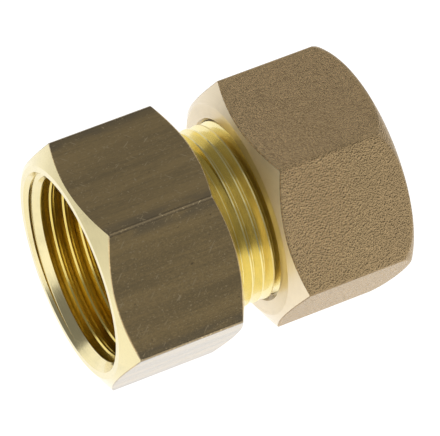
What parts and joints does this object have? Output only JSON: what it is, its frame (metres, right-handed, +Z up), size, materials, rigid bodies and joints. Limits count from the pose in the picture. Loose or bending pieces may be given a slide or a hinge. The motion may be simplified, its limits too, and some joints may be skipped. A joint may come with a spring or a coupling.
{
  "type": "compression fitting",
  "caption": "Straight brass compression fitting: hexagonal body with a female pipe thread, external threaded shank, olive and hexagonal compression nut.",
  "frame": {"origin": "on the fitting's axis, midway between the port face and the nut's back face as assembled", "axes": "+X along the axis from the port to the nut, +Z up with a flat of each hexagon on top and underneath"},
  "size_m": [0.042, 0.0344, 0.03],
  "materials": {
    "body_brass": "drawn bar flats, turned and threaded surfaces bright",
    "olive_brass": "bright turned",
    "nut_brass": "hot forged and blasted, matt; front chamfer and bore turned"
  },
  "bodies": {
    "body": {"fitting_body": "body_brass"},
    "olive_carrier": {"olive": "olive_brass"},
    "nut": {"compression_nut": "nut_brass"}
  },
  "joints": [
    {"name": "olive_travel", "type": "slide", "parent": "body", "child": "olive_carrier", "axis": [1, 0, 0], "range_m": [-0.00076, 0.00901]},
    {"name": "nut_turn", "type": "hinge", "parent": "olive_carrier", "child": "nut", "pos_m": [0, 0, 0], "axis": [1, 0, 0], "range_deg": [-180, 2160]}
  ],
  "couplings": [
    {"joint": "olive_travel", "follows": "nut_turn", "m_per_rad": 0.00023873}
  ]
}
